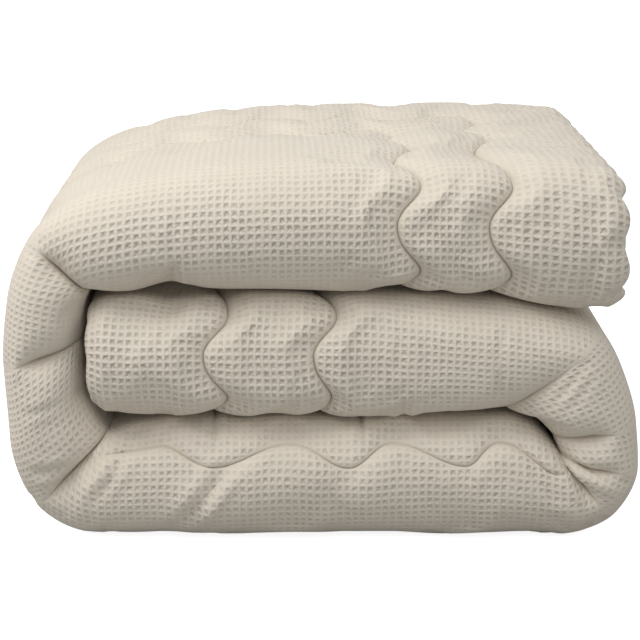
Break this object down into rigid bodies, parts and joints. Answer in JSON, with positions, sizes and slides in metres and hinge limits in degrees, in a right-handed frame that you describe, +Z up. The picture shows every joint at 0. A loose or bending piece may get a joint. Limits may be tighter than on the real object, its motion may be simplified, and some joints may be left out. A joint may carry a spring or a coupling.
{
  "type": "summer duvet",
  "caption": "Quilted waffle-cloth summer duvet, folded lengthwise and wrapped into a thick flat stack.",
  "frame": {"origin": "middle of the bounding box's underside, on the surface that the folded duvet lies on", "axes": "+Z up, +X along the folded stack towards its right end as seen from the front folds, +Y from the front folds to the hems at the back"},
  "size_m": [0.7088, 0.494, 0.4269],
  "materials": {
    "waffle_cloth": "matte washed cotton waffle weave, cream beige"
  },
  "bodies": {
    "root": {"duvet": "waffle_cloth"}
  },
  "joints": []
}
